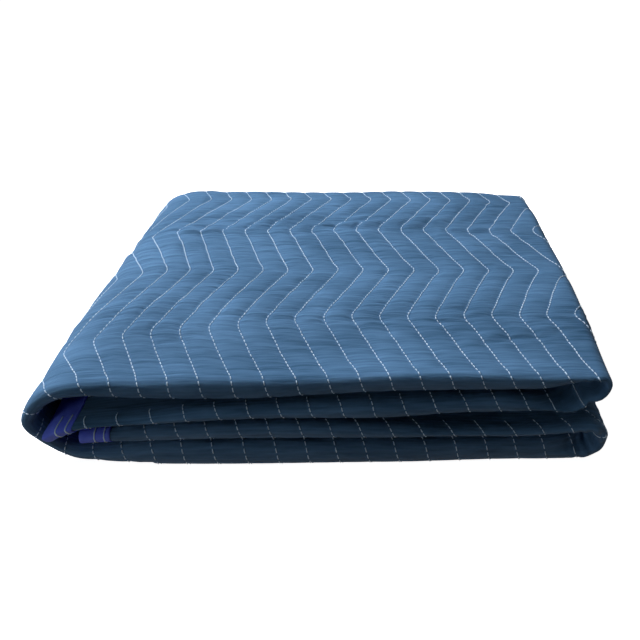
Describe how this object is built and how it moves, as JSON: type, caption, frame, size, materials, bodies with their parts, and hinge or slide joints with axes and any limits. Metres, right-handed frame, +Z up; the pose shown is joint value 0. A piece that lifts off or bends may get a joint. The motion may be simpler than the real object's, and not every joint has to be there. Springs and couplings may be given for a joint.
{
  "type": "folded moving blanket",
  "caption": "Quilted moving blanket with bound edges, folded both ways into a flat square pack that rests on a floor or shelf.",
  "frame": {"origin": "on the floor, under the middle of the folded pack's box", "axes": "+Z up, through the layers; -Y towards the front, where the packets' folds show; +X to the right, so that the wrapped spine with the two free ends is on the left"},
  "size_m": [0.5072, 0.51, 0.0956],
  "materials": {
    "quilted_cloth": "matt woven cotton and polyester, quilted with white thread",
    "binding_tape": "matt woven polyester tape with white stitching"
  },
  "bodies": {
    "root": {"blanket": "quilted_cloth", "end_binding_inner": "binding_tape", "end_binding_drooping": "binding_tape", "side_binding_outer": "binding_tape", "side_binding_inner": "binding_tape"}
  },
  "joints": []
}
